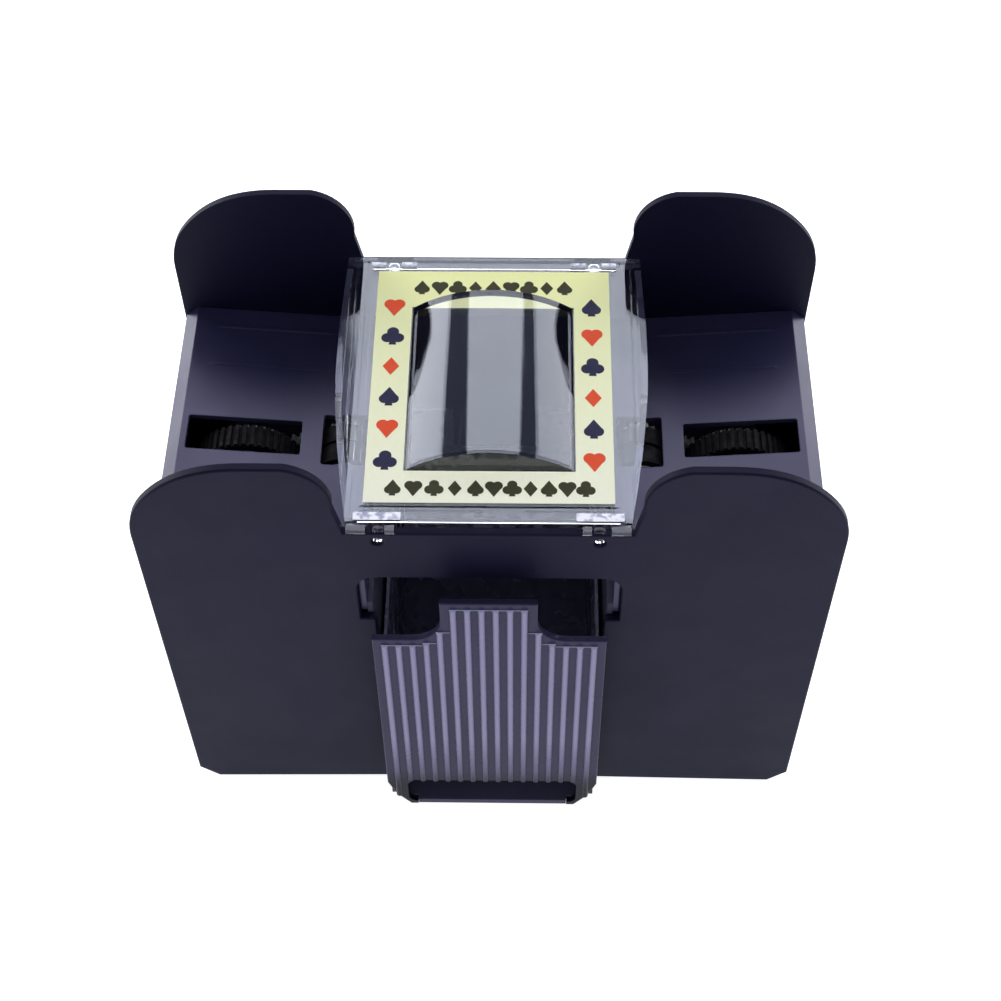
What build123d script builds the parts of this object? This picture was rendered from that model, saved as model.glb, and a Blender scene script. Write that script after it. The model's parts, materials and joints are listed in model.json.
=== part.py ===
from build123d import *
import os
from math import acos, atan2, cos, hypot, pi, radians, sin, sqrt, tan

# Automatic card shuffler with two hoppers, two motors and a centre drawer.
# Millimetres, +Z up, +Y to the rear, origin on the table under the middle of the whole object.
# The right half (+X) is built and mirrored in the YZ plane for the left half.
# The pieces are built with the housing's panels at equal distances from Y=0, and SET_BACK moves
# all of them when they are written, because the drawer stands out further than the run button.

# ---- driving dimensions -------------------------------------------------------------------
SET_BACK = 4.1
PANEL_OUT = 53.0          # outer face of the front and rear panels, from the middle
PANEL_T = 2.5
PANEL_IN = PANEL_OUT - PANEL_T
PANEL_FOOT = 0.3          # the panels stop just above the table
PANEL_ARCH = 1.5          # and a little higher in the middle
BASE_HALF = 98.0          # half width at the bottom
SHOULDER_HALF = 99.3      # half width where the lobes begin
SHOULDER_Z = 138.0
LOBE_Z = 168.9
LOBE_FLAT = (54.5, 65.0)  # level stretch at the top of a lobe
DIP_Z = 140.5             # low middle edge that the clear cover sits on
DIP_HALF = 40.3
WALL = 2.0

DECK_X = 65.0             # a point of the hopper floor, and its slope towards the middle
DECK_Z = 117.0
DECK_SLOPE = tan(radians(5.1))
DECK_T = 1.8
DECK_IN = 36.0
DECK_LIP = 1.8
DECK_RIM = 94.3           # where the floor turns over into the outer shoulder
DECK_OUT = 98.5
DECK_CHAMFER = 3.2
DECK_LOW_Z = 112.0
FEED_WINDOW = (58.0, 92.4, 6.4)
EXIT_WINDOW = (37.8, 51.6, 9.5)

BIN_IN = 34.4
BIN_OUT = 36.0
BIN_TOP = 103.0
BASE_LOW = 3.0
BASE_TOP = 5.0
BAY_IN = 37.5
BAY_OUT = 94.5
BAY_Y = 30.0
BAY_WALL = 1.6
BAY_TOP = 33.2

FEED_X = 75.0             # feed wheel axle
FEED_Z = 101.5
EXIT_X = 45.6             # exit roller axle, under the edge of the clear cover
EXIT_Z = 108.4
AXLE_R = 1.5
BORE_R = 1.56             # running fit on the axles
TYRE_R = 17.0
ROLLER_R = 7.5

MODULE = 0.8
PRESSURE = radians(25)
TIP = 0.64                # tooth height above the pitch circle
ROOT = 0.92               # tooth depth below it
BACKLASH = 0.16
FEED_TEETH = 32
SMALL_TEETH = 20
LARGE_TEETH = 40
EXIT_TEETH = 12
MOTOR_TEETH = 10
STAGE_ONE = (3.8, 6.2)    # feed gear and small compound gear, along Y
STAGE_TWO = (6.8, 9.2)    # large compound gear, exit gear and motor pinion

FRAME_FRONT = (-12.0, -10.0)
FRAME_REAR = (11.0, 13.0)
HUB_END = 0.2             # end play of the hubs between the frame plates

CELL_R = 13.1
CELL_LEN = 50.0
CELL_Z = BAY_TOP - BAY_WALL - CELL_R

DRAWER_HALF = 33.1
DRAWER_WALL = 1.0
DRAWER_LOW = 5.2
DRAWER_TOP = 74.0
DRAWER_BACK = 46.5
FRONT_FACE = -63.1        # ground of the ribbed drawer front
FRONT_BACK = -61.2
FRONT_FOOT = 0.8
FRONT_HALF = 34.1
FRONT_SIDE_Z = 102.2
TAB_HALF = 14.0
TAB_Z = 121.1
TAB_BLEND = 9.0
RIB_R = 1.1
RIB_PITCH = 4.06
RIBS_EACH_SIDE = 8
RIB_MARGIN = 2.8          # plain border above the ribs
FLUTE_PAD = 0.35          # height of the flat ground between two ribs
PULL_HALF = 27.5          # finger recess at the drawer's foot
PULL_LOW = 2.7            # where its lower corners are
PULL_TOP = 17.2
PULL_MOUTH = 24.5         # half width of the gap below it, which the base's sill fills
PULL_BACK = -49.0
PULL_WALL = 1.2

COVER_TOP = 143.0
COVER_T = 1.8
COVER_GAP = 0.1
COVER_HALVES = (39.7, 45.7, 44.8)   # half widths at the front, the middle and the rear
COVER_LOW = 116.9
COVER_BROW = 40.0         # half width of the cover's level top
COVER_FALL = 0.7          # and how far it slopes down from there to its side walls
COVER_LINES = (38.3, 41.6, 43.4)            # shallow grooves along the cover's sides
VAULT_HALF = 24.0
VAULT_RISE = 8.2
VAULT_Y = (-32.6, 29.1)
COVER_FEET = ((34.0, 39.4), (26.0, 28.6))  # blocks that rest on the front panel's edge
LAND_H = 0.5              # low lands on the cover's corners, and their spans across it
FRONT_LAND = (24.3, 37.5)
REAR_LANDS = ((23.5, 28.2), (33.0, 37.4))
BOSS_X = 30.9
BOSS_Z = 136.8
BOSS_R = 1.5
LABEL_HALF = (35.1, 44.0)
LABEL_T = 0.25
LABEL_GROOVE = (1.0, 1.5) # groove round the label, from its edge


# ---- helpers ------------------------------------------------------------------------------
def along_y(sketch, low, high):
    """A sketch drawn in X and Z, made solid from Y=low to Y=high."""
    plane = Plane(origin=(0, high, 0), x_dir=(1, 0, 0), z_dir=(0, -1, 0))
    return extrude(plane * sketch, amount=high - low)


def block(x0, x1, y0, y1, z0, z1):
    centre = Pos((x0 + x1) / 2, (y0 + y1) / 2, (z0 + z1) / 2)
    return centre * Box(abs(x1 - x0), abs(y1 - y0), abs(z1 - z0))


def rod_y(x, z, radius, low, high):
    return along_y(Pos(x, z) * Circle(radius), low, high)


def rod_z(x, y, radius, low, high):
    return Pos(x, y, (low + high) / 2) * Cylinder(radius, high - low)


def mirrored(solid):
    return mirror(solid, about=Plane.YZ)


def both_sides(solid):
    return solid + mirrored(solid)


def symmetric_face(edges):
    """A face from the right-hand half of an outline, closed by straight lines across the middle."""
    half = Curve() + edges
    closing = []
    for end in (edges[0] @ 0, edges[-1] @ 1):
        closing.append(Line((-end.X, end.Y), (end.X, end.Y)))
    return make_face(half + mirror(half, about=Plane.YZ) + closing)


def deck_height(x):
    return DECK_Z + (x - DECK_X) * DECK_SLOPE


def polar(centre, radius, angle):
    return (centre[0] + radius * cos(angle), centre[1] + radius * sin(angle))


def direction(a, b):
    return atan2(b[1] - a[1], b[0] - a[0])


# ---- gears --------------------------------------------------------------------------------
def pitch_radius(teeth):
    return teeth * MODULE / 2


def half_tooth_angle(teeth, radius):
    """Half the angle that one involute tooth covers at a radius."""
    pitch = pitch_radius(teeth)
    base = pitch * cos(PRESSURE)
    at_pitch = (pi * MODULE / 2 - BACKLASH) / (2 * pitch)
    pressure = acos(min(1.0, base / radius))
    return at_pitch + (tan(PRESSURE) - PRESSURE) - (tan(pressure) - pressure)


def gear_face(centre, teeth, phase):
    """Spur gear outline with a tooth centred on the phase angle."""
    pitch = pitch_radius(teeth)
    root = pitch - ROOT
    tip = pitch + TIP
    base = max(root, pitch * cos(PRESSURE))
    edges = []
    step = 2 * pi / teeth
    for tooth in range(teeth):
        middle = phase + tooth * step
        foot = half_tooth_angle(teeth, base)
        waist = half_tooth_angle(teeth, pitch)
        head = half_tooth_angle(teeth, tip)
        rise = (polar(centre, root, middle - foot), polar(centre, base, middle - foot))
        fall = (polar(centre, base, middle + foot), polar(centre, root, middle + foot))
        up = (rise[1], polar(centre, pitch, middle - waist), polar(centre, tip, middle - head))
        down = (polar(centre, tip, middle + head), polar(centre, pitch, middle + waist), fall[0])
        following = polar(centre, root, middle + step - foot)
        if base > root:
            edges += [Line(*rise), Line(*fall)]
        edges += [ThreePointArc(*up), Line(up[2], down[0]), ThreePointArc(*down)]
        edges += [Line(fall[1], following)]
    return make_face(Curve() + edges)


def meshed_phase(centre_a, teeth_a, phase_a, centre_b, teeth_b):
    """Phase that puts a tooth gap of gear B on the tooth of gear A along their centre line."""
    line = direction(centre_a, centre_b)
    part_of_tooth = (teeth_a * (line - phase_a) / (2 * pi)) % 1
    return line + pi - (2 * pi / teeth_b) * (0.5 - part_of_tooth)


def compound_centre():
    """The compound gear's axle is one gear distance from both the feed and the exit axle."""
    feed = (FEED_X, FEED_Z)
    leave = (EXIT_X, EXIT_Z)
    reach = pitch_radius(FEED_TEETH) + pitch_radius(SMALL_TEETH)
    span = hypot(feed[0] - leave[0], feed[1] - leave[1])
    drop = sqrt(reach**2 - (span / 2) ** 2)
    tilt = direction(leave, feed)
    middle = ((feed[0] + leave[0]) / 2, (feed[1] + leave[1]) / 2)
    return polar(middle, drop, tilt - pi / 2)


FEED = (FEED_X, FEED_Z)
EXIT = (EXIT_X, EXIT_Z)
COMPOUND = compound_centre()
MOTOR = (COMPOUND[0], COMPOUND[1] - pitch_radius(LARGE_TEETH) - pitch_radius(MOTOR_TEETH))
FEED_PHASE = 0.0
SMALL_PHASE = meshed_phase(FEED, FEED_TEETH, FEED_PHASE, COMPOUND, SMALL_TEETH)
LARGE_PHASE = 0.0
EXIT_PHASE = meshed_phase(COMPOUND, LARGE_TEETH, LARGE_PHASE, EXIT, EXIT_TEETH)
MOTOR_PHASE = meshed_phase(COMPOUND, LARGE_TEETH, LARGE_PHASE, MOTOR, MOTOR_TEETH)


def feed_gear():
    gear = along_y(gear_face(FEED, FEED_TEETH, FEED_PHASE), *STAGE_ONE)
    hub = rod_y(*FEED, 3.6, STAGE_ONE[1], FRAME_REAR[0] - HUB_END)
    bore = rod_y(*FEED, AXLE_R, STAGE_ONE[0], FRAME_REAR[0])
    return gear + hub - bore


def exit_gear():
    gear = along_y(gear_face(EXIT, EXIT_TEETH, EXIT_PHASE), *STAGE_TWO)
    hub = rod_y(*EXIT, 3.2, STAGE_TWO[1], FRAME_REAR[0] - HUB_END)
    bore = rod_y(*EXIT, AXLE_R, STAGE_TWO[0], FRAME_REAR[0])
    return gear + hub - bore


def compound_gear():
    small = along_y(gear_face(COMPOUND, SMALL_TEETH, SMALL_PHASE), *STAGE_ONE)
    large = along_y(gear_face(COMPOUND, LARGE_TEETH, LARGE_PHASE), *STAGE_TWO)
    neck = rod_y(*COMPOUND, 5.0, STAGE_ONE[1], STAGE_TWO[0])
    hub = rod_y(*COMPOUND, 2.8, FRAME_FRONT[1] + HUB_END, FRAME_REAR[0] - HUB_END)
    bore = rod_y(*COMPOUND, BORE_R, FRAME_FRONT[1], FRAME_REAR[0])
    return small + large + neck + hub - bore


def motor_pinion():
    gear = along_y(gear_face(MOTOR, MOTOR_TEETH, MOTOR_PHASE), *STAGE_TWO)
    return gear - rod_y(*MOTOR, 1.0, *STAGE_TWO)


# ---- feed and exit trains -----------------------------------------------------------------
def axle(centre):
    return rod_y(*centre, AXLE_R, FRAME_FRONT[0] - 1.5, FRAME_REAR[1] + 1.5)


def feed_wheel():
    """Light plastic wheel: rim, thin web and a hub that reaches the front frame plate."""
    rim = rod_y(*FEED, 13.4, -4.0, 3.4) - rod_y(*FEED, 11.8, -4.0, 3.4)
    web = rod_y(*FEED, 11.9, -1.0, 0.6)
    hub = rod_y(*FEED, 4.0, FRAME_FRONT[1] + HUB_END, STAGE_ONE[0])
    holes = Sketch()
    for turn in range(6):
        holes += Pos(*polar(FEED, 8.0, turn * pi / 3)) * Circle(2.3)
    bore = rod_y(*FEED, AXLE_R, FRAME_FRONT[0], STAGE_ONE[1])
    return rim + web - along_y(holes, -1.0, 0.6) + hub - bore


def feed_tyre():
    """Rubber tyre with square ridges all the way round."""
    ridges = 44
    ground = TYRE_R - 0.9
    tread = Pos(*FEED) * Circle(ground)
    for ridge in range(ridges):
        angle = 360 * ridge / ridges
        tread += Pos(*FEED) * Rot(0, 0, angle) * Pos(ground, 0) * Rectangle(1.8, 1.2)
    tread -= Pos(*FEED) * Circle(13.4)
    return along_y(tread, -4.0, 3.4)


def exit_roller():
    core = rod_y(*EXIT, 5.2, -8.0, 6.2)
    hub = rod_y(*EXIT, 3.2, FRAME_FRONT[1] + HUB_END, STAGE_TWO[0])
    return core + hub - rod_y(*EXIT, AXLE_R, FRAME_FRONT[0], STAGE_TWO[1])


def exit_tyre():
    """Two rubber bands on the exit roller, with a groove between them."""
    band = rod_y(*EXIT, ROLLER_R, -7.6, 5.8)
    groove = rod_y(*EXIT, ROLLER_R + 1, -1.6, -0.2) - rod_y(*EXIT, ROLLER_R - 0.8, -1.6, -0.2)
    return band - groove - rod_y(*EXIT, 5.2, -8.0, 6.0)


def motor():
    """Small flat-sided direct-current motor behind the rear frame plate."""
    length = 25.0
    back = FRAME_REAR[1] + length
    can = Pos(*MOTOR) * Circle(10.1) & Pos(*MOTOR) * Rectangle(20.2, 15.2)
    body = along_y(can, FRAME_REAR[1], back)
    boss = rod_y(*MOTOR, 3.0, FRAME_REAR[0] + 0.2, FRAME_REAR[1])
    cap = rod_y(*MOTOR, 3.2, back, back + 1.8)
    tabs = block(MOTOR[0] - 6.5, MOTOR[0] - 4.5, back, back + 3.0, MOTOR[1] - 0.3, MOTOR[1] + 0.3)
    tabs += block(MOTOR[0] + 4.5, MOTOR[0] + 6.5, back, back + 3.0, MOTOR[1] - 0.3, MOTOR[1] + 0.3)
    return body + boss + cap + tabs - rod_y(*MOTOR, 1.05, 0, 22.0)


def motor_shaft():
    return rod_y(*MOTOR, 1.0, STAGE_TWO[0] - 0.4, 21.8)


def gear_frame():
    """Open bracket: two plates that carry the axles, on a foot that stands on the battery bay."""
    outline = [(39.5, BAY_TOP), (71.0, BAY_TOP), (71.0, 78.0), (82.0, 92.0), (82.0, 107.0)]
    outline += [(78.0, 111.5), (40.5, 111.5), (38.4, 109.0), (38.4, 70.0)]
    plate = make_face(Polyline(*outline, close=True))
    plate = fillet(plate.vertices().filter_by(lambda v: v.Y > BAY_TOP + 1), 2.0)
    window = Pos(55, 50) * RectangleRounded(18, 18, 3)
    frame = along_y(plate - window, *FRAME_FRONT) + along_y(plate - window, *FRAME_REAR)
    frame += block(39.5, 71.0, FRAME_FRONT[1], FRAME_REAR[0], BAY_TOP, BAY_TOP + 2.0)
    for centre, radius in ((FEED, BORE_R), (EXIT, BORE_R), (COMPOUND, AXLE_R)):
        frame -= rod_y(*centre, radius, FRAME_FRONT[0], FRAME_REAR[1])
    frame -= rod_y(*MOTOR, 5.2, *FRAME_REAR)
    for x in motor_screw_x():
        frame -= rod_y(x, MOTOR[1], 1.1, *FRAME_REAR)
    for y in FRAME_SCREW_Y:
        frame -= rod_z(FRAME_SCREW_X, y, 1.3, BAY_TOP, BAY_TOP + 2.0)
    return frame


FRAME_SCREW_X = (BAY_IN + BAY_OUT) / 2
FRAME_SCREW_Y = (-6.0, 7.0)


def motor_screw_x():
    return (MOTOR[0] - 8.0, MOTOR[0] + 8.0)


def motor_screws():
    screws = Part()
    for x in motor_screw_x():
        screws += rod_y(x, MOTOR[1], 1.0, FRAME_REAR[0], FRAME_REAR[1])
        screws += rod_y(x, MOTOR[1], 1.8, FRAME_REAR[0] - 1.2, FRAME_REAR[0])
    return screws


def frame_screws():
    screws = Part()
    for y in FRAME_SCREW_Y:
        screws += rod_z(FRAME_SCREW_X, y, 1.2, BAY_TOP - 4.5, BAY_TOP + 2.0)
        screws += rod_z(FRAME_SCREW_X, y, 2.3, BAY_TOP + 2.0, BAY_TOP + 3.6)
    return screws


# ---- housing ------------------------------------------------------------------------------
def panel_face():
    """Front and rear panels share one outline: two lobes with a low middle between them."""
    corner = (BASE_HALF, PANEL_FOOT + 5.6)
    shoulder = (SHOULDER_HALF, SHOULDER_Z)
    side = (shoulder[0] - corner[0], shoulder[1] - corner[1])
    inner, outer = LOBE_FLAT
    edges = Polyline((BIN_OUT, PANEL_ARCH), (92, PANEL_FOOT), corner, shoulder).edges()
    edges += [Spline(shoulder, (92.0, 157.4), (outer, LOBE_Z), tangents=(side, (-1, 0)))]
    edges += [Line((outer, LOBE_Z), (inner, LOBE_Z))]
    edges += [ThreePointArc((inner, LOBE_Z), (45.6, 163.3), (42.5, 151.5))]
    edges += [Line((42.5, 151.5), (DIP_HALF, DIP_Z))]
    return symmetric_face(edges)


def boss_grooves(side):
    """Blind lead-in grooves on a panel's inner face, over the holes for the cover's bosses."""
    skin = side * (PANEL_OUT - 0.7)
    inner = side * PANEL_IN
    groove = block(BOSS_X - 1.7, BOSS_X + 1.7, min(skin, inner), max(skin, inner), BOSS_Z, DIP_Z)
    hole = rod_y(BOSS_X, BOSS_Z, 1.7, min(inner, side * PANEL_OUT), max(inner, side * PANEL_OUT))
    return both_sides(groove + hole)


SCREW_POSTS = ((90.0, 40.0), (90.0, 80.0))


def front_panel():
    panel = along_y(panel_face(), -PANEL_OUT, -PANEL_IN)
    edges = Polyline((33.4, 0), (33.4, 97.7), (37.9, 97.7), (37.9, 113.8)).edges()
    edges += [ThreePointArc((37.9, 113.8), (36.2, 117.5), (32.0, 119.1))]
    panel -= along_y(symmetric_face(edges), -PANEL_OUT, -PANEL_IN)
    panel -= boss_grooves(-1)
    panel = fillet(panel.edges().group_by(Axis.Y)[0], 0.6)
    for x, z in SCREW_POSTS:
        post = rod_y(x, z, 3.4, -PANEL_IN, PANEL_IN) - rod_y(x, z, 1.3, PANEL_IN - 14, PANEL_IN)
        panel += both_sides(post)
    return panel


def rear_panel():
    panel = along_y(panel_face(), PANEL_IN, PANEL_OUT)
    panel -= boss_grooves(1)
    panel = fillet(panel.edges().group_by(Axis.Y)[-1], 0.6)
    for x, z in SCREW_POSTS:
        panel -= both_sides(rod_y(x, z, 1.6, PANEL_IN, PANEL_OUT))
        panel -= both_sides(rod_y(x, z, 3.1, PANEL_OUT - 1.2, PANEL_OUT))
    panel -= rod_y(*BUTTON, BUTTON_R + 0.1, PANEL_IN, PANEL_OUT)
    for side in (-1, 1):
        inner = BUTTON[0] + side * 6.6
        outer = BUTTON[0] + side * 8.6
        panel += block(inner, outer, 34.0, PANEL_IN, BUTTON[1] - 5, BUTTON[1] + 5)
    return panel


def panel_screws():
    screws = Part()
    for x, z in SCREW_POSTS:
        shank = rod_y(x, z, 1.3, PANEL_OUT - 12, PANEL_OUT - 1.2)
        head = rod_y(x, z, 2.8, PANEL_OUT - 1.2, PANEL_OUT + 0.2)
        drive = along_y(Pos(x, z) * (Rectangle(3.0, 0.7) + Rectangle(0.7, 3.0)),
                        PANEL_OUT - 0.6, PANEL_OUT + 0.2)
        screws += both_sides(shank + head - drive)
    return screws


def hopper_deck():
    """Sloping card floor with a chamfered shoulder outside and a short lip down to the bin wall."""
    rim_z = deck_height(DECK_RIM)
    lip = DECK_IN + DECK_LIP
    outline = [(DECK_IN, deck_height(DECK_IN)), (DECK_RIM, rim_z), (DECK_OUT, rim_z - DECK_CHAMFER)]
    outline += [(DECK_OUT, DECK_LOW_Z), (DECK_OUT - WALL, DECK_LOW_Z)]
    outline += [(DECK_OUT - WALL, rim_z - DECK_CHAMFER - 1), (DECK_RIM - 0.6, rim_z - DECK_T)]
    outline += [(lip, deck_height(lip) - DECK_T), (lip, BIN_TOP - 4), (DECK_IN, BIN_TOP - 4)]
    deck = along_y(make_face(Polyline(*outline, close=True)), -PANEL_IN, PANEL_IN)
    for near, far, half in (FEED_WINDOW, EXIT_WINDOW):
        window = Pos((near + far) / 2, 0) * RectangleRounded(far - near, 2 * half, 0.8)
        deck -= Pos(0, 0, BIN_TOP + 8) * extrude(window, amount=20)
    for y in (-43.0, -27.5, 27.5, 43.0):
        rail = make_face(Polyline((48, deck_height(48) - 0.2), (91, deck_height(91) - 0.2),
                                  (86, deck_height(86) + 0.25), (53, deck_height(53) + 0.25),
                                  close=True))
        deck += along_y(rail, y - 0.5, y + 0.5)
    return deck


def end_cover():
    """Outer side wall under the deck's shoulder."""
    face = make_face(Polyline((BASE_HALF - 0.6, BASE_LOW), (DECK_OUT, DECK_LOW_Z),
                              (DECK_OUT - WALL, DECK_LOW_Z), (BASE_HALF - 0.6 - WALL, BASE_LOW),
                              close=True))
    return along_y(face, -PANEL_IN, PANEL_IN)


def bin_wall():
    return block(BIN_IN, BIN_OUT, -PANEL_IN, PANEL_IN, BASE_TOP, BIN_TOP)


def base_plate():
    """Floor of the housing, a sill under the drawer front and an open battery bay on each side."""
    plate = block(-95.4, 95.4, -PANEL_IN, PANEL_IN, BASE_LOW, BASE_TOP)
    for half, front in ((PULL_HALF + 0.9, FRONT_BACK + 0.3), (PULL_MOUTH - 0.1, FRONT_FACE + 0.4)):
        plate += block(-half, half, front, 5 - PANEL_IN, FRONT_FOOT, BASE_LOW + 0.2)
    bay = block(BAY_IN, BAY_OUT, -BAY_Y, BAY_Y, BASE_LOW, BAY_TOP)
    room = block(BAY_IN + BAY_WALL, BAY_OUT - BAY_WALL, -BAY_Y + BAY_WALL, BAY_Y - BAY_WALL,
                 BASE_LOW, BAY_TOP - BAY_WALL)
    plate = plate + both_sides(bay) - both_sides(room)
    for y in FRAME_SCREW_Y:
        plate -= both_sides(rod_z(FRAME_SCREW_X, y, 1.2, BAY_TOP - BAY_WALL, BAY_TOP))
    return plate


def battery_door():
    """Drop-out door with a rim that locates inside the bay."""
    lid = block(BAY_IN - 1.5, BAY_OUT, -BAY_Y - 1.5, BAY_Y + 1.5, 1.2, BASE_LOW)
    near = BAY_IN + BAY_WALL + 0.3
    far = BAY_OUT - BAY_WALL - 0.3
    half = BAY_Y - BAY_WALL - 0.3
    rim = block(near, far, -half, half, BASE_LOW, CELL_Z - CELL_R - 0.3)
    rim -= block(near + 1.2, far - 1.2, -half + 1.2, half - 1.2, BASE_LOW, CELL_Z)
    grip = block(near + 6, far - 6, -half + 3, -half + 7, 1.2, 1.9)
    return lid + rim - grip


def c_cell(place):
    """C cell on its side; place 0 is nearest the middle and 1 is outside."""
    middle = (BAY_IN + BAY_OUT) / 2
    x = middle + (place - 0.5) * (2 * CELL_R + 0.6)
    turn = 1 if place == 0 else -1
    can = rod_y(x, CELL_Z, CELL_R, -CELL_LEN / 2 + 0.75, CELL_LEN / 2 - 0.75)
    nub_end = turn * CELL_LEN / 2
    nub = rod_y(x, CELL_Z, 3.0, min(0, nub_end), max(0, nub_end))
    base_end = -nub_end
    base = rod_y(x, CELL_Z, 9.0, min(0, base_end), max(0, base_end))
    return can + nub + base


def battery_contact(side):
    """Spring-metal strip across both cells, with a bent tongue on each cell."""
    outer = side * (BAY_Y - BAY_WALL)
    strip_in = outer - side * 0.5
    strip = block(BAY_IN + 3, BAY_OUT - 3, min(outer, strip_in), max(outer, strip_in), 9, 28)
    middle = (BAY_IN + BAY_OUT) / 2
    end = side * CELL_LEN / 2
    for place in (0, 1):
        x = middle + (place - 0.5) * (2 * CELL_R + 0.6)
        tongue = Polyline((strip_in, CELL_Z - 6), (end, CELL_Z - 1), (end, CELL_Z + 1),
                          (strip_in, CELL_Z + 6), (strip_in, CELL_Z + 5.2),
                          (end + side * 0.5, CELL_Z + 0.6), (end + side * 0.5, CELL_Z - 0.6),
                          (strip_in, CELL_Z - 5.2), close=True)
        strip += Pos(x - 2.5, 0, 0) * extrude(Plane.YZ * make_face(tongue), amount=5)
    return strip


def motor_wires():
    """Lead from the motor's tabs down to the battery bay roof."""
    start = (MOTOR[0] + 5.5, FRAME_REAR[1] + 28.0, MOTOR[1])
    path = FilletPolyline(start, (start[0], 45.0, start[2]), (start[0], 45.0, BAY_TOP + 3),
                          (start[0], 30.0, BAY_TOP + 0.7), (start[0], 24.0, BAY_TOP + 0.7),
                          radius=2.5)
    section = Plane(origin=start, z_dir=(0, 1, 0)) * Circle(0.7)
    return sweep(section, path=path)


def rubber_feet():
    foot = rod_z(86.0, 42.0, 5.0, 0.0, BASE_LOW)
    return both_sides(foot + mirror(foot, about=Plane.XZ))


# ---- run button ---------------------------------------------------------------------------
BUTTON = (78.0, 60.0)
BUTTON_R = 5.0
BUTTON_FLANGE = 48.5


def run_button():
    cap = rod_y(*BUTTON, BUTTON_R, BUTTON_FLANGE, PANEL_OUT + 3)
    cap = fillet(cap.edges().group_by(Axis.Y)[-1], 0.8)
    flange = rod_y(*BUTTON, 6.2, BUTTON_FLANGE, PANEL_IN - 0.2)
    stem = rod_y(*BUTTON, 1.6, 45.0, BUTTON_FLANGE)
    return cap + flange + stem


def run_switch():
    x, z = BUTTON
    return block(x - 6.6, x + 6.6, 34.0, 42.5, z - 5, z + 5)


# ---- drawer -------------------------------------------------------------------------------
def drawer_front_face():
    """Low sides, a raised middle tab with hollow curves beside it, and cut lower corners."""
    blend_x = TAB_HALF + TAB_BLEND
    mid_x = blend_x - TAB_BLEND * sin(radians(45))
    mid_z = FRONT_SIDE_Z + TAB_BLEND * (1 - sin(radians(45)))
    edges = Polyline((27.0, FRONT_FOOT), (31.4, 7.2), (FRONT_HALF, 15.0),
                     (FRONT_HALF, FRONT_SIDE_Z), (blend_x, FRONT_SIDE_Z)).edges()
    edges += [ThreePointArc((blend_x, FRONT_SIDE_Z), (mid_x, mid_z),
                            (TAB_HALF, FRONT_SIDE_Z + TAB_BLEND))]
    edges += [Line((TAB_HALF, FRONT_SIDE_Z + TAB_BLEND), (TAB_HALF, TAB_Z))]
    return symmetric_face(edges)


def rib_top(x):
    """The ribs end a margin below the drawer front's outline, so their ends step down with it."""
    across = TAB_HALF + TAB_BLEND - abs(x)
    if across > TAB_BLEND:
        return TAB_Z - RIB_MARGIN
    drop = sqrt(TAB_BLEND**2 - max(0.0, across) ** 2)
    return FRONT_SIDE_Z + TAB_BLEND - drop - RIB_MARGIN


def drawer_front():
    """Plate with half-round ribs, and a low pad between each rib and the next one inwards."""
    plate = along_y(drawer_front_face(), FRONT_FACE, FRONT_BACK)
    plate = fillet(plate.edges().group_by(Axis.Y)[0], 0.5)
    for rib in range(RIBS_EACH_SIDE):
        x = (rib + 0.5) * RIB_PITCH
        foot = PULL_TOP + 1.0 if x < PULL_HALF else 8.0
        bar = rod_z(x, FRONT_FACE, RIB_R, foot, rib_top(x))
        pad = block(x - RIB_PITCH, x, FRONT_FACE - FLUTE_PAD, FRONT_BACK, foot, rib_top(x))
        plate += both_sides(bar & block(0, 40, FRONT_FACE - 2, FRONT_BACK, 0, 130)) + both_sides(pad)
    return plate


def card_drawer():
    """One clear moulding: ribbed front, tray, finger pocket and the stop ribs for the cards."""
    tray = block(-DRAWER_HALF, DRAWER_HALF, FRONT_BACK, DRAWER_BACK, DRAWER_LOW, DRAWER_TOP)
    inner = DRAWER_HALF - DRAWER_WALL
    tray -= block(-inner, inner, FRONT_BACK, DRAWER_BACK - DRAWER_WALL, DRAWER_LOW + 1.4, 130)
    pocket_half = PULL_HALF + PULL_WALL
    pocket = block(-pocket_half, pocket_half, FRONT_BACK, PULL_BACK, DRAWER_LOW,
                   PULL_TOP + PULL_WALL)
    recess = block(-PULL_HALF, PULL_HALF, FRONT_BACK, PULL_BACK - PULL_WALL, 0, PULL_TOP)
    slot_face = Pos(0, (PULL_TOP + PULL_LOW) / 2) * RectangleRounded(
        2 * PULL_HALF, PULL_TOP - PULL_LOW, 3.0)
    slot_face += Pos(0, PULL_LOW / 2) * Rectangle(2 * PULL_MOUTH, PULL_LOW + 2)
    slot = along_y(slot_face, FRONT_FACE - 2, FRONT_BACK)
    stops = block(inner - 3.0, inner, -47.0, -46.0, DRAWER_LOW, DRAWER_TOP)
    notch = block(-14, 14, DRAWER_BACK - 2, DRAWER_BACK + 1, DRAWER_TOP - 20, DRAWER_TOP)
    return drawer_front() + tray + pocket + both_sides(stops) - recess - slot - notch


# ---- clear cover --------------------------------------------------------------------------
def cover_plan(inset):
    """Plan of the cover: straight ends and sides that bulge, widest at half its depth."""
    end = PANEL_IN - COVER_GAP - inset
    front, middle, rear = (half - inset for half in COVER_HALVES)
    edges = [Line((0, -end), (front, -end))]
    edges += [Spline((front, -end), (middle, 2), (rear, end), tangents=((0.16, 1), (-0.04, 1)))]
    edges += [Line((rear, end), (0, end))]
    half = Curve() + edges
    return make_face(half + mirror(half, about=Plane.YZ))


def vault(half_width, rise, low_z, ends):
    radius = (half_width**2 + rise**2) / (2 * rise)
    crown = COVER_TOP + rise
    circle = Pos(0, crown - radius) * Circle(radius)
    keep = Pos(0, (crown + low_z) / 2) * Rectangle(2 * half_width, crown - low_z)
    return along_y(circle & keep, *ends)


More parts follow.
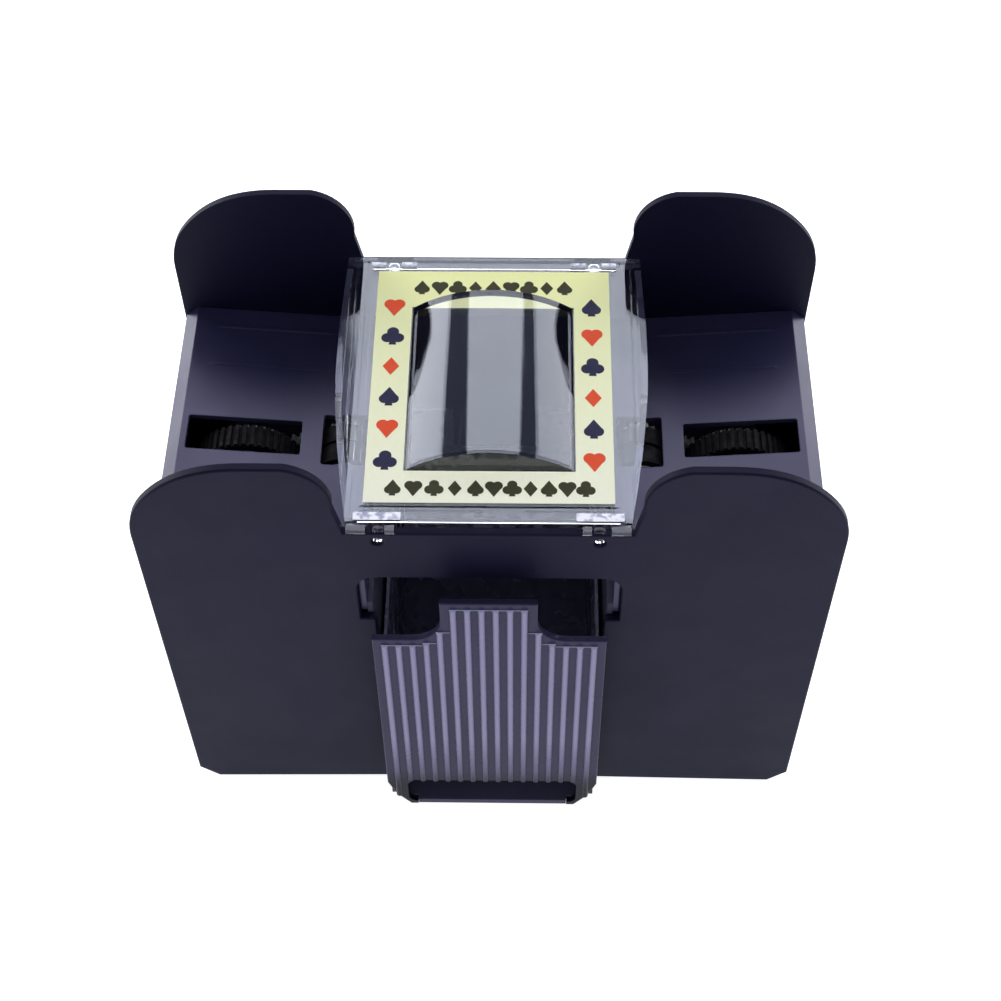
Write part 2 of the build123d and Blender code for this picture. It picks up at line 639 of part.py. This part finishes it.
def cover_section(inset):
    """Section of the cover across the machine: level top, with a slope down at each side."""
    top = COVER_TOP - inset
    outer = max(COVER_HALVES) + 0.5
    return symmetric_face(Polyline((outer, COVER_LOW), (outer, top - COVER_FALL),
                                   (COVER_BROW, top)).edges())


def cover_shape(inset):
    plan = Pos(0, 0, COVER_LOW) * extrude(cover_plan(inset), amount=COVER_TOP - COVER_LOW)
    return plan & along_y(cover_section(inset), -PANEL_IN, PANEL_IN)


def label_frame(inner, outer):
    """A rectangular ring on the cover's top, at two distances outside the label's edge."""
    ring = Rectangle(2 * (LABEL_HALF[0] + outer), 2 * (LABEL_HALF[1] + outer))
    return ring - Rectangle(2 * (LABEL_HALF[0] + inner), 2 * (LABEL_HALF[1] + inner))


def top_cover():
    """Clear cover with a vault, side walls down to the card gates and four snap legs."""
    cover = cover_shape(0) - cover_shape(COVER_T)
    cover -= Pos(0, 0, COVER_TOP - 0.35) * extrude(label_frame(*LABEL_GROOVE), amount=1)
    end = PANEL_IN
    for x in COVER_LINES:
        cover -= both_sides(block(x, x + 0.3, 2 - end, end - 2, COVER_TOP - 0.6, COVER_TOP + 1))
    for side in (-1, 1):
        wall = sorted((side * (end - 3), side * end))
        cover -= block(-24.9, 24.9, *wall, COVER_LOW - 1, DIP_Z - 1.5)
        cover -= both_sides(block(36, 50, *wall, COVER_LOW - 1, DIP_Z - 1.5))
        cover -= both_sides(block(24, 50, *wall, COVER_LOW - 1, 131.0))
        boss = sorted((side * (end - 1.2), side * (end + 1.4)))
        cover += both_sides(rod_y(BOSS_X, BOSS_Z, BOSS_R, *boss))
    for near, far in COVER_FEET:
        cover += both_sides(block(near, far, -PANEL_OUT, 1 - end, DIP_Z, COVER_TOP - 0.8))
    for near, far in REAR_LANDS:
        cover += both_sides(block(near, far, end - 5.4, end - 2.9, COVER_TOP - 1, COVER_TOP + LAND_H))
    cover += both_sides(block(*FRONT_LAND, 0.4 - end, 3.0 - end, COVER_TOP - 1, COVER_TOP + LAND_H))
    cover += vault(VAULT_HALF, VAULT_RISE, COVER_TOP - COVER_T, VAULT_Y)
    ends = (VAULT_Y[0] + COVER_T, VAULT_Y[1] - COVER_T)
    cover -= vault(VAULT_HALF - COVER_T, VAULT_RISE - COVER_T + 0.4, COVER_TOP - 2.2, ends)
    return cover


def label_card():
    """Printed sheet on the cover's flat border, cut out round the vault."""
    sheet = Pos(0, 0, COVER_TOP) * extrude(Rectangle(2 * LABEL_HALF[0], 2 * LABEL_HALF[1]),
                                           amount=LABEL_T)
    return sheet - block(-VAULT_HALF - 0.3, VAULT_HALF + 0.3, VAULT_Y[0] - 0.3, VAULT_Y[1] + 0.3,
                         COVER_TOP, COVER_TOP + LABEL_T)


# ---- the whole object ---------------------------------------------------------------------
def single_nodes():
    return {
        "front_panel": front_panel(),
        "rear_panel": rear_panel(),
        "base_plate": base_plate(),
        "card_drawer": card_drawer(),
        "top_cover": top_cover(),
        "label_card": label_card(),
        "run_button": run_button(),
        "run_switch": run_switch(),
        "rubber_feet": rubber_feet(),
        "panel_screws": panel_screws(),
        "frame_screws": both_sides(frame_screws()),
        "motor_screws": both_sides(motor_screws()),
    }


def paired_nodes():
    return {
        "hopper_deck": hopper_deck(),
        "end_cover": end_cover(),
        "bin_wall": bin_wall(),
        "gear_frame": gear_frame(),
        "feed_axle": axle(FEED),
        "feed_wheel": feed_wheel(),
        "feed_tyre": feed_tyre(),
        "feed_gear": feed_gear(),
        "exit_axle": axle(EXIT),
        "exit_roller": exit_roller(),
        "exit_tyre": exit_tyre(),
        "exit_gear": exit_gear(),
        "idler_axle": axle(COMPOUND),
        "compound_gear": compound_gear(),
        "motor": motor(),
        "motor_shaft": motor_shaft(),
        "motor_pinion": motor_pinion(),
        "c_cell_inner": c_cell(0),
        "c_cell_outer": c_cell(1),
        "contact_front": battery_contact(-1),
        "contact_rear": battery_contact(1),
        "battery_door": battery_door(),
        "motor_wires": motor_wires(),
    }


def write(name, solid):
    export_step(Pos(0, SET_BACK, 0) * solid, f"parts/{name}.step")


def main():
    os.makedirs("parts", exist_ok=True)
    for name, solid in single_nodes().items():
        write(name, solid)
    for name, solid in paired_nodes().items():
        write(f"{name}_right", solid)
        write(f"{name}_left", mirrored(solid))


main()
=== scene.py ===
import json
from math import cos, pi, radians, sin, sqrt, tan

import bmesh
import bpy
from mathutils import Matrix, Vector


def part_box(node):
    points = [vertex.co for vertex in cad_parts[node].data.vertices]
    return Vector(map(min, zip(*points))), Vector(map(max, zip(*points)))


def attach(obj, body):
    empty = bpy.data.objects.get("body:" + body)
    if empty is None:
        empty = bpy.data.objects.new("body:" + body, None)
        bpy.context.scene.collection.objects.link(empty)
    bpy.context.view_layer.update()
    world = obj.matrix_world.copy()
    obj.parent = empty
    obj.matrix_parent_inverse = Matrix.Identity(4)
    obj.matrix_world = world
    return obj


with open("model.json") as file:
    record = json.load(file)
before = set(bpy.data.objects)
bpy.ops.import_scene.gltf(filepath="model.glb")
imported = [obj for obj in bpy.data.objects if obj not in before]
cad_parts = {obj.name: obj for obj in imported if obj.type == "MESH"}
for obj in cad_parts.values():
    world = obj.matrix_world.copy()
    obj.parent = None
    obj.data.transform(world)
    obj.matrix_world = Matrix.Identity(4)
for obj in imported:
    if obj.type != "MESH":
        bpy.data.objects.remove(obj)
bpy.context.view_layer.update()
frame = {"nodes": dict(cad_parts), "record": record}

MM = 0.001
scene = bpy.context.scene
nodes = frame["nodes"]


# ---- material recipes ---------------------------------------------------------------------
class Recipe:
    """One material's node tree, with short calls for the nodes that all recipes share."""

    def __init__(self, name):
        self.material = bpy.data.materials.new(name)
        self.material.use_nodes = True
        self.tree = self.material.node_tree
        self.surface = self.tree.nodes["Principled BSDF"]
        self.output = self.tree.nodes["Material Output"]
        self.place = self.add("ShaderNodeTexCoord").outputs["Object"]

    def add(self, kind, **settings):
        node = self.tree.nodes.new(kind)
        for key, value in settings.items():
            setattr(node, key, value)
        return node

    def join(self, source, target):
        self.tree.links.new(source, target)

    def set(self, **values):
        for key, value in values.items():
            self.surface.inputs[key.replace("_", " ")].default_value = value

    def noise(self, scale, detail=3.0, stretch=(1, 1, 1)):
        mapping = self.add("ShaderNodeMapping")
        mapping.inputs["Scale"].default_value = stretch
        self.join(self.place, mapping.inputs["Vector"])
        texture = self.add("ShaderNodeTexNoise")
        texture.inputs["Scale"].default_value = scale
        texture.inputs["Detail"].default_value = detail
        self.join(mapping.outputs["Vector"], texture.inputs["Vector"])
        return texture.outputs["Fac"]

    def split(self, vector):
        """The X, Y and Z of a vector, one output each."""
        node = self.add("ShaderNodeSeparateXYZ")
        self.join(vector, node.inputs[0])
        return node.outputs

    def remap(self, source, low, high, start=0.35, end=0.65):
        node = self.add("ShaderNodeMapRange")
        node.inputs["From Min"].default_value = start
        node.inputs["From Max"].default_value = end
        node.inputs["To Min"].default_value = low
        node.inputs["To Max"].default_value = high
        self.join(source, node.inputs["Value"])
        return node.outputs["Result"]

    def math(self, operation, first, second):
        node = self.add("ShaderNodeMath", operation=operation)
        for slot, value in enumerate((first, second)):
            if isinstance(value, (int, float)):
                node.inputs[slot].default_value = value
            else:
                self.join(value, node.inputs[slot])
        return node.outputs[0]

    def mix(self, factor, first, second):
        node = self.add("ShaderNodeMix", data_type="RGBA")
        self.join(factor, node.inputs["Factor"])
        for key, value in ((6, first), (7, second)):
            if isinstance(value, tuple):
                node.inputs[key].default_value = (*value, 1)
            else:
                self.join(value, node.inputs[key])
        return node.outputs[2]

    def colour(self, source):
        if isinstance(source, tuple):
            self.surface.inputs["Base Color"].default_value = (*source, 1)
        else:
            self.join(source, self.surface.inputs["Base Color"])

    def rough(self, source):
        self.join(source, self.surface.inputs["Roughness"])

    def bump(self, height, distance, normal=None):
        node = self.add("ShaderNodeBump")
        node.inputs["Distance"].default_value = distance
        self.join(height, node.inputs["Height"])
        if normal is not None:
            self.join(normal, node.inputs["Normal"])
        self.join(node.outputs["Normal"], self.surface.inputs["Normal"])
        return node.outputs["Normal"]

    def soft_edge(self, radius):
        """Normal of edges rounded by this radius, and a mask that is 1 on those edges."""
        bevel = self.add("ShaderNodeBevel", samples=4)
        bevel.inputs["Radius"].default_value = radius
        geometry = self.add("ShaderNodeNewGeometry")
        dot = self.add("ShaderNodeVectorMath", operation="DOT_PRODUCT")
        self.join(bevel.outputs["Normal"], dot.inputs[0])
        self.join(geometry.outputs["Normal"], dot.inputs[1])
        mask = self.remap(dot.outputs["Value"], 1.0, 0.0, 0.86, 0.99)
        return bevel.outputs["Normal"], mask

    def clear_shadows(self, share):
        """Lets part of the light through a clear part's shadow."""
        ray = self.add("ShaderNodeLightPath")
        glass = self.add("ShaderNodeBsdfTransparent")
        mix = self.add("ShaderNodeMixShader")
        self.join(self.math("MULTIPLY", ray.outputs["Is Shadow Ray"], share), mix.inputs[0])
        self.join(self.surface.outputs[0], mix.inputs[1])
        self.join(glass.outputs[0], mix.inputs[2])
        self.join(mix.outputs[0], self.output.inputs["Surface"])


def shade(colour, factor):
    return tuple(min(1.0, channel * factor) for channel in colour)


def moulded(name, colour, rough, grain=1800.0, depth=0.00003, wear=1.6, specular=0.35,
            sheen=(1.0, 1.0, 1.0)):
    """Moulded plastic: fine spark-eroded grain, faint flow mottling and paler worn edges."""
    recipe = Recipe(name)
    normal, edge = recipe.soft_edge(0.0005)
    mottle = recipe.noise(28.0, 4.0)
    body = recipe.mix(recipe.remap(mottle, 0, 1), shade(colour, 0.93), shade(colour, 1.07))
    patches = recipe.remap(recipe.noise(160.0), 0.0, 0.7)
    worn = recipe.math("MULTIPLY", edge, patches)
    recipe.colour(recipe.mix(worn, body, shade(colour, wear)))
    recipe.rough(recipe.remap(recipe.noise(70.0, 5.0), rough - 0.02, rough + 0.03))
    recipe.bump(recipe.noise(grain, 2.0), depth, normal)
    recipe.set(Specular_IOR_Level=specular, Specular_Tint=(*sheen, 1))
    return recipe.material


def clear_plastic(name, tint, rough, shadow=0.85):
    """Clear moulding: dust-fine haze, hairline scratches, and a painted highlight on the raised
    lands at its corners, which are made whiter and less clear there.
    """
    low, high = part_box("label_card")
    land_low, land_high = 0.1 * MM, 0.3 * MM
    near, far = 2 * MM, 3 * MM
    recipe = Recipe(name)
    place = recipe.split(recipe.place)
    raised = recipe.remap(place["Z"], 0.0, 1.0, low.z + land_low, low.z + land_high)
    before = recipe.remap(place["Y"], 1.0, 0.0, low.y - far, low.y - near)
    behind = recipe.remap(place["Y"], 0.0, 1.0, high.y + near, high.y + far)
    # painted highlight: the raised lands beyond the label's front and back ends stand in for
    # glints
    land_glint_mask = recipe.math("MULTIPLY", raised, recipe.math("MAXIMUM", before, behind))
    scratches = recipe.noise(900.0, 1.0, (1, 0.03, 1))
    haze = recipe.noise(45.0, 5.0)
    scuffed = recipe.remap(scratches, 0.0, 0.06, 0.66, 0.74)
    recipe.rough(recipe.math("ADD", recipe.remap(haze, rough * 0.6, rough * 1.5), scuffed))
    body = recipe.mix(recipe.remap(haze, 0, 1), tint, shade(tint, 0.96))
    blotches = recipe.remap(recipe.noise(330.0, 2.0), 0.0, 1.0, 0.36, 0.50)
    # painted highlight colour of the lands, blotchy white
    land_glint_colour = recipe.mix(blotches, (0.34, 0.34, 0.46), (0.97, 0.97, 1.0))
    recipe.colour(recipe.mix(land_glint_mask, body, land_glint_colour))
    # the lands with the painted highlight let less light through
    recipe.join(recipe.remap(land_glint_mask, 1.0, 0.1, 0.0, 1.0),
                recipe.surface.inputs["Transmission Weight"])
    recipe.set(IOR=1.5, Specular_Tint=(0.80, 0.86, 1.0, 1))
    recipe.clear_shadows(shadow)
    return recipe.material


def smoke_plastic():
    """Smoky drawer moulding, deep violet in the grooves, with painted light: a painted highlight
    on the rib crests and on the rib ends that face up, fading out lower down, and painted shade
    at the bottom.
    """
    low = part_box("card_drawer")[0]
    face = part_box("front_panel")[0].y
    inside = (0.17, 0.16, 0.25)
    valley = (0.030, 0.027, 0.055)
    # painted highlight colour on the rib crests
    crest_highlight = (0.250, 0.236, 0.350)
    # painted highlight colour on the upward-facing rib ends
    lit = (0.80, 0.80, 0.95)
    # painted shade colour at the foot of the drawer front
    gloom = (0.006, 0.006, 0.010)
    rib_height = 0.75 * MM
    rib_root = (1.02 * MM, 1.12 * MM)
    front_depth = 4 * MM
    paler_from, palest_from = 17 * MM, 46 * MM
    dark_below, clear_above = 14 * MM, 25 * MM
    recipe = Recipe("smoky drawer plastic")
    place = recipe.split(recipe.place)
    facing = recipe.split(recipe.add("ShaderNodeNewGeometry").outputs["Normal"])
    outside = recipe.remap(place["Y"], 1.0, 0.0, face - front_depth, face)
    stand = recipe.remap(place["Y"], 1.0, 0.0, low.y, low.y + rib_height)
    # the crests' painted highlight fades out towards the bottom
    highlight_rise = recipe.remap(place["Z"], 0.12, 1.0, paler_from, palest_from)
    cloud = recipe.remap(recipe.noise(22.0, 4.0), 0.0, 0.4)
    deep = recipe.mix(cloud, valley, shade(valley, 1.5))
    body = recipe.mix(recipe.math("MULTIPLY", stand, highlight_rise), deep, crest_highlight)
    proud = recipe.remap(place["Y"], 1.0, 0.0, low.y + rib_root[0], low.y + rib_root[1])
    # rib ends that face up and stand proud get the painted highlight
    upward = recipe.remap(facing["Z"], 0.0, 1.0, 0.6, 0.9)
    body = recipe.mix(recipe.math("MULTIPLY", upward, proud), body, lit)
    # painted shade, darker towards the bottom of the drawer front
    foot_shade = recipe.remap(place["Z"], 1.0, 0.0, dark_below, clear_above)
    recipe.colour(recipe.mix(outside, inside, recipe.mix(foot_shade, body, gloom)))
    recipe.rough(recipe.remap(recipe.noise(90.0, 4.0), 0.22, 0.32))
    recipe.join(recipe.remap(outside, 0.40, 0.0, 0.0, 1.0),
                recipe.surface.inputs["Transmission Weight"])
    recipe.set(IOR=1.5, Specular_IOR_Level=0.10, Specular_Tint=(0.70, 0.68, 1.0, 1))
    recipe.clear_shadows(0.35)
    return recipe.material


def metal(name, colour, rough, stretch, depth=0.000008):
    """Turned or drawn metal: fine lines in one direction and a little dulling."""
    recipe = Recipe(name)
    lines = recipe.noise(1500.0, 2.0, stretch)
    dull = recipe.noise(120.0, 4.0)
    recipe.colour(recipe.mix(recipe.remap(dull, 0, 1), shade(colour, 0.82), colour))
    recipe.rough(recipe.math("ADD", recipe.remap(lines, -0.05, 0.07), rough))
    recipe.bump(lines, depth)
    recipe.set(Metallic=1.0)
    return recipe.material


def rubber():
    recipe = Recipe("tyre rubber")
    dust = recipe.remap(recipe.noise(240.0, 5.0), 0.0, 1.0, 0.45, 0.75)
    recipe.colour(recipe.mix(dust, (0.004, 0.004, 0.005), (0.012, 0.011, 0.013)))
    recipe.rough(recipe.remap(recipe.noise(400.0), 0.62, 0.86))
    recipe.bump(recipe.noise(2600.0, 3.0), 0.00004)
    recipe.set(Specular_IOR_Level=0.15)
    return recipe.material


def card_stock():
    """Printed label: pale yellow that lightens towards the front, with paper fibre under it."""
    low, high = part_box("label_card")
    recipe = Recipe("label card")
    along = recipe.remap(recipe.split(recipe.place)["Y"], 1.0, 0.0, low.y, high.y)
    ground = recipe.mix(along, (0.89, 0.91, 0.41), (0.99, 0.99, 0.76))
    fibre = recipe.remap(recipe.noise(1400.0, 4.0, (1, 0.35, 1)), 0.0, 1.0)
    tinted = recipe.math("MULTIPLY", fibre, 0.10)
    recipe.colour(recipe.mix(tinted, ground, (0.80, 0.76, 0.34)))
    recipe.rough(recipe.remap(recipe.noise(300.0), 0.42, 0.56))
    recipe.bump(recipe.noise(1600.0, 3.0), 0.00001)
    recipe.set(Specular_IOR_Level=0.12)
    return recipe.material


def ink(name, colour):
    """Offset ink on card: nearly even, with a fine dot screen showing."""
    recipe = Recipe(name)
    screen = recipe.remap(recipe.noise(5200.0, 1.0), 0.0, 1.0, 0.3, 0.7)
    recipe.colour(recipe.mix(screen, shade(colour, 0.88), shade(colour, 1.1)))
    recipe.rough(recipe.remap(recipe.noise(300.0), 0.35, 0.5))
    recipe.bump(screen, 0.000004)
    recipe.set(Specular_IOR_Level=0.10)
    return recipe.material


def cell_sleeve():
    """Battery sleeve: coloured band with a gold shoulder at one end, slightly scuffed."""
    sleeve_end, shoulder_start = 9.5 * MM, 9.8 * MM
    recipe = Recipe("battery sleeve")
    along = recipe.split(recipe.place)["Y"]
    shoulder = recipe.remap(along, 0.0, 1.0, sleeve_end, shoulder_start)
    scuff = recipe.remap(recipe.noise(200.0, 5.0), 0.0, 0.35, 0.5, 0.8)
    base = recipe.mix(shoulder, (0.03, 0.05, 0.10), (0.55, 0.34, 0.10))
    recipe.colour(recipe.mix(scuff, base, (0.5, 0.5, 0.5)))
    recipe.rough(recipe.remap(recipe.noise(350.0), 0.25, 0.4))
    recipe.bump(recipe.noise(900.0), 0.00001)
    recipe.set(Metallic=0.5)
    return recipe.material


def wire_skin():
    recipe = Recipe("wire insulation")
    gloss = recipe.noise(300.0, 3.0)
    recipe.colour(recipe.mix(recipe.remap(gloss, 0, 1), (0.42, 0.02, 0.02), (0.55, 0.05, 0.04)))
    recipe.rough(recipe.remap(gloss, 0.3, 0.5))
    recipe.bump(recipe.noise(1200.0), 0.00001)
    return recipe.material


def make_materials():
    """One material for each of the record's slots."""
    across = (1, 0.02, 1)
    blue_sheen = (0.74, 0.73, 1.0)
    return {
        "shell_black": moulded("housing plastic", (0.0066, 0.0062, 0.0200), 0.50, wear=1.3,
                               specular=0.11, sheen=blue_sheen),
        "deck_black": moulded("deck plastic", (0.0340, 0.0315, 0.0720), 0.32, 900.0, 0.00001,
                              specular=0.36, sheen=blue_sheen),
        # inner parts are lighter than the housing: painted fill light that lifts the shade
        # inside the openings
        "inner_black": moulded("inner plastic", (0.060, 0.058, 0.092), 0.60, specular=0.14),
        "smoke_clear": smoke_plastic(),
        "clear": clear_plastic("clear cover plastic", (0.93, 0.935, 0.975), 0.035),
        "label": card_stock(),
        "rubber": rubber(),
        "gear_white": moulded("nylon", (0.60, 0.58, 0.50), 0.42, 1200.0, 0.00001, 1.1),
        "steel": metal("ground steel", (0.60, 0.60, 0.61), 0.26, (1, 0.02, 1)),
        "brass": metal("pinion brass", (0.72, 0.52, 0.24), 0.28, across),
        "motor_steel": metal("plated motor can", (0.56, 0.57, 0.58), 0.34, (1, 1, 1)),
        "cell": cell_sleeve(),
        "spring_metal": metal("nickel contact", (0.70, 0.68, 0.62), 0.24, (0.02, 1, 1)),
        "wire": wire_skin(),
        "button": moulded("button plastic", (0.30, 0.018, 0.016), 0.38, 1500.0, 0.00001, 1.3),
        "screw": metal("blackened screw", (0.16, 0.16, 0.17), 0.38, (1, 1, 1)),
    }


def dress_nodes(materials):
    """Every CAD node takes the material of its slot, with smooth faces."""
    for entry in frame["record"]["subparts"]:
        mesh = nodes[entry["node"]].data
        mesh.materials.clear()
        mesh.materials.append(materials[entry["material_slot"]])
        mesh.polygons.foreach_set("use_smooth", [True] * len(mesh.polygons))
        mesh.set_sharp_from_angle(angle=radians(32))


# ---- printed art on the label -------------------------------------------------------------
INK_LOW = 0.004 * MM
INK_HIGH = 0.05 * MM
SMALL_MARK = 0.80
OUTLINE_STEPS = 96


def circle_reach(centre, radius, way):
    """Distance from the origin to a circle's far side, for a circle that holds the origin."""
    along = centre[0] * way[0] + centre[1] * way[1]
    return along + sqrt(max(0.0, along**2 - centre[0] ** 2 - centre[1] ** 2 + radius**2))


def polygon_reach(points, way):
    """The same for a convex polygon, its points going anticlockwise round the origin."""
    reach = 1e9
    for index, (x, y) in enumerate(points):
        nx, ny = points[(index + 1) % len(points)]
        normal = (ny - y, x - nx)
        outward = normal[0] * way[0] + normal[1] * way[1]
        level = normal[0] * x + normal[1] * y
        if outward > 1e-9:
            reach = min(reach, max(0.0, level) / outward)
        elif level < 1e-9 and outward > -1e-9:
            reach = 0.0
    return reach


def suit_outline(circles, polygons):
    """Outline of a union of shapes that all hold the origin, found ray by ray."""
    angles = {2 * pi * step / OUTLINE_STEPS for step in range(OUTLINE_STEPS)}
    for points in polygons:
        for x, y in points:
            angles.add(Vector((1, 0)).angle_signed(Vector((x, y)), 0.0) * -1 % (2 * pi))
    outline = []
    for angle in sorted(angles):
        way = (cos(angle), sin(angle))
        reach = [circle_reach(centre, radius, way) for centre, radius in circles]
        reach += [polygon_reach(points, way) for points in polygons]
        outline.append((max(reach) * way[0], max(reach) * way[1]))
    return outline


STEM = [(-0.35, 0.3), (-1.15, -3.3), (1.15, -3.3), (0.35, 0.3)]


def heart():
    lobes = [((-1.3, 1.25), 1.85), ((1.3, 1.25), 1.85)]
    return suit_outline(lobes, [[(-2.9, 0.55), (0, -3.6), (2.9, 0.55), (0, 1.9)]])


def spade():
    lobes = [((-1.25, -0.75), 1.65), ((1.25, -0.75), 1.65)]
    return suit_outline(lobes, [[(-2.75, -0.15), (0, -1.2), (2.75, -0.15), (0, 3.7)], STEM])


def club():
    lobes = [((0, 1.75), 1.78), ((-1.62, -0.6), 1.78), ((1.62, -0.6), 1.78)]
    return suit_outline(lobes, [STEM])


def diamond():
    return suit_outline([], [[(-2.45, 0), (0, -3.4), (2.45, 0), (0, 3.4)]])


def print_piece(name, marks, material):
    """Thin raised ink: each mark is an outline in millimetres and the place of its centre."""
    card_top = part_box("label_card")[1].z
    shape = bmesh.new()
    for outline, (x, y) in marks:
        rings = []
        for z in (card_top + INK_LOW, card_top + INK_HIGH):
            rings.append([shape.verts.new(((x + u) * MM, (y + v) * MM, z)) for u, v in outline])
        shape.faces.new(rings[1])
        shape.faces.new(list(reversed(rings[0])))
        count = len(outline)
        for n in range(count):
            m = (n + 1) % count
            shape.faces.new((rings[0][n], rings[0][m], rings[1][m], rings[1][n]))
    bmesh.ops.recalc_face_normals(shape, faces=shape.faces)
    mesh = bpy.data.meshes.new(name)
    shape.to_mesh(mesh)
    shape.free()
    mesh.materials.append(material)
    piece = bpy.data.objects.new(name, mesh)
    scene.collection.objects.link(piece)
    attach(piece, "cover")
    return piece


def print_label():
    """Two columns of card suits, and a row of small suit marks at each end of the label."""
    low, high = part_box("label_card")
    middle = (low.y + high.y) / 2 / MM
    column = 29.6
    first = middle + 29.2
    pitch = 11.7
    rear_row = middle + 37.2
    front_row = middle - 39.0
    left = (heart, club, diamond, spade, heart, club)
    right = (spade, heart, club, diamond, spade, heart)
    red = []
    dark = []
    for x, suits in ((-column, left), (column, right)):
        for row, suit in enumerate(suits):
            marks = red if suit in (heart, diamond) else dark
            marks.append((suit(), (x, first - row * pitch)))
    olive = band((-21.6, 21.6), rear_row, 9)
    olive += band((-27.0, -9.6), front_row, 4) + band((-3.8, 27.0), front_row, 7)
    print_piece("label_print_red", red, ink("red ink", (0.82, 0.085, 0.025)))
    print_piece("label_print_dark", dark, ink("dark ink", (0.020, 0.020, 0.060)))
    print_piece("label_print_bands", olive, ink("olive ink", (0.040, 0.040, 0.014)))


def scaled(outline, factor):
    return [(x * factor, y * factor) for x, y in outline]


def band(span, y, count):
    """A row of small suit marks, evenly spaced from one end of the span to the other."""
    suits = (spade, heart, club, diamond)
    step = (span[1] - span[0]) / (count - 1)
    marks = []
    for n in range(count):
        suit = suits[n % len(suits)]
        marks.append((scaled(suit(), SMALL_MARK), (span[0] + n * step, y)))
    return marks


# ---- studio -------------------------------------------------------------------------------
def add_floor():
    """Plain pale floor, lit a little from within so that the shadows on it stay light."""
    half = 4.0
    mesh = bpy.data.meshes.new("floor")
    corners = [(-half, -half, 0), (half, -half, 0), (half, half, 0), (-half, half, 0)]
    mesh.from_pydata(corners, [], [(0, 1, 2, 3)])
    floor = bpy.data.objects.new("floor", mesh)
    scene.collection.objects.link(floor)
    recipe = Recipe("pale floor")
    recipe.colour((0.90, 0.90, 0.905))
    recipe.set(Roughness=0.85, Specular_IOR_Level=0.1)
    recipe.set(Emission_Color=(1, 1, 1, 1), Emission_Strength=0.85)
    mesh.materials.append(recipe.material)


def add_softbox(name, place, target, size, radiance, across=(1, 0, 0)):
    """A rectangular light of an even radiance that faces a target, its width lying across."""
    lamp = bpy.data.lights.new(name, "AREA")
    lamp.shape = "RECTANGLE"
    lamp.size = size[0]
    lamp.size_y = size[1]
    lamp.energy = radiance * pi * size[0] * size[1]
    box = bpy.data.objects.new(name, lamp)
    scene.collection.objects.link(box)
    back = (Vector(place) - Vector(target)).normalized()
    level = (Vector(across) - back * back.dot(Vector(across))).normalized()
    turn = Matrix((level, back.cross(level), back)).transposed().to_4x4()
    turn.translation = place
    box.matrix_world = turn


def add_overhead(name, angle, spread, radiance):
    """A softbox on a half barrel over the cover, at an angle from straight up towards +X."""
    reach = 1.0
    setback = 0.86
    length = 0.62
    middle = Vector((0, 0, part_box("top_cover")[1].z))
    outward = Vector((sin(angle), 0, cos(angle)))
    across = (cos(angle), 0, -sin(angle))
    place = middle + (outward + Vector((0, setback, 0))) * reach
    width = 2 * reach * tan(spread / 2)
    add_softbox(name, place, middle, (width, length), radiance, across)


def add_world(colour, strength):
    """Even pale light from all round, which the camera itself sees as white."""
    world = bpy.data.worlds.new("studio")
    scene.world = world
    world.use_nodes = True
    tree = world.node_tree
    light = tree.nodes["Background"]
    light.inputs["Color"].default_value = (*colour, 1)
    light.inputs["Strength"].default_value = strength
    backdrop = tree.nodes.new("ShaderNodeBackground")
    backdrop.inputs["Color"].default_value = (1, 1, 1, 1)
    ray = tree.nodes.new("ShaderNodeLightPath")
    mix = tree.nodes.new("ShaderNodeMixShader")
    tree.links.new(ray.outputs["Is Camera Ray"], mix.inputs[0])
    tree.links.new(light.outputs[0], mix.inputs[1])
    tree.links.new(backdrop.outputs[0], mix.inputs[2])
    tree.links.new(mix.outputs[0], tree.nodes["World Output"].inputs["Surface"])


def add_lights():
    """One softbox over the back and one at each side, with dark gaps between, and a low fill."""
    add_world((0.70, 0.76, 1.0), 0.44)
    add_overhead("back softbox", radians(2), radians(46), 4.0)
    add_overhead("left softbox", radians(-72), radians(58), 4.6)
    add_overhead("right softbox", radians(70), radians(60), 3.6)
    add_softbox("front fill", (-0.1, -1.2, 0.40), (0, 0, 0.08), (1.2, 0.5), 1.2)


def add_camera():
    """Camera above the front, looking down on the machine."""
    target = Vector((2.33, 4.1, 85.3)) * MM
    distance = 587.3 * MM
    azimuth = radians(-1.217)
    elevation = radians(53.35)
    roll = radians(-0.55)
    right = Vector((cos(azimuth), -sin(azimuth), 0))
    level = Vector((sin(azimuth), cos(azimuth), 0))
    forward = level * cos(elevation) - Vector((0, 0, sin(elevation)))
    upward = right.cross(forward)
    side = right * cos(roll) + upward * sin(roll)
    top = upward * cos(roll) - right * sin(roll)
    lens = bpy.data.cameras.new("camera")
    lens.lens = 66.7
    lens.sensor_width = 36.0
    lens.clip_start = 0.01
    camera = bpy.data.objects.new("camera", lens)
    scene.collection.objects.link(camera)
    pose = Matrix((side, top, -forward)).transposed().to_4x4()
    pose.translation = target - forward * distance
    camera.matrix_world = pose
    scene.camera = camera


dress_nodes(make_materials())
print_label()
add_floor()
add_lights()
add_camera()
scene.view_settings.view_transform = "Standard"
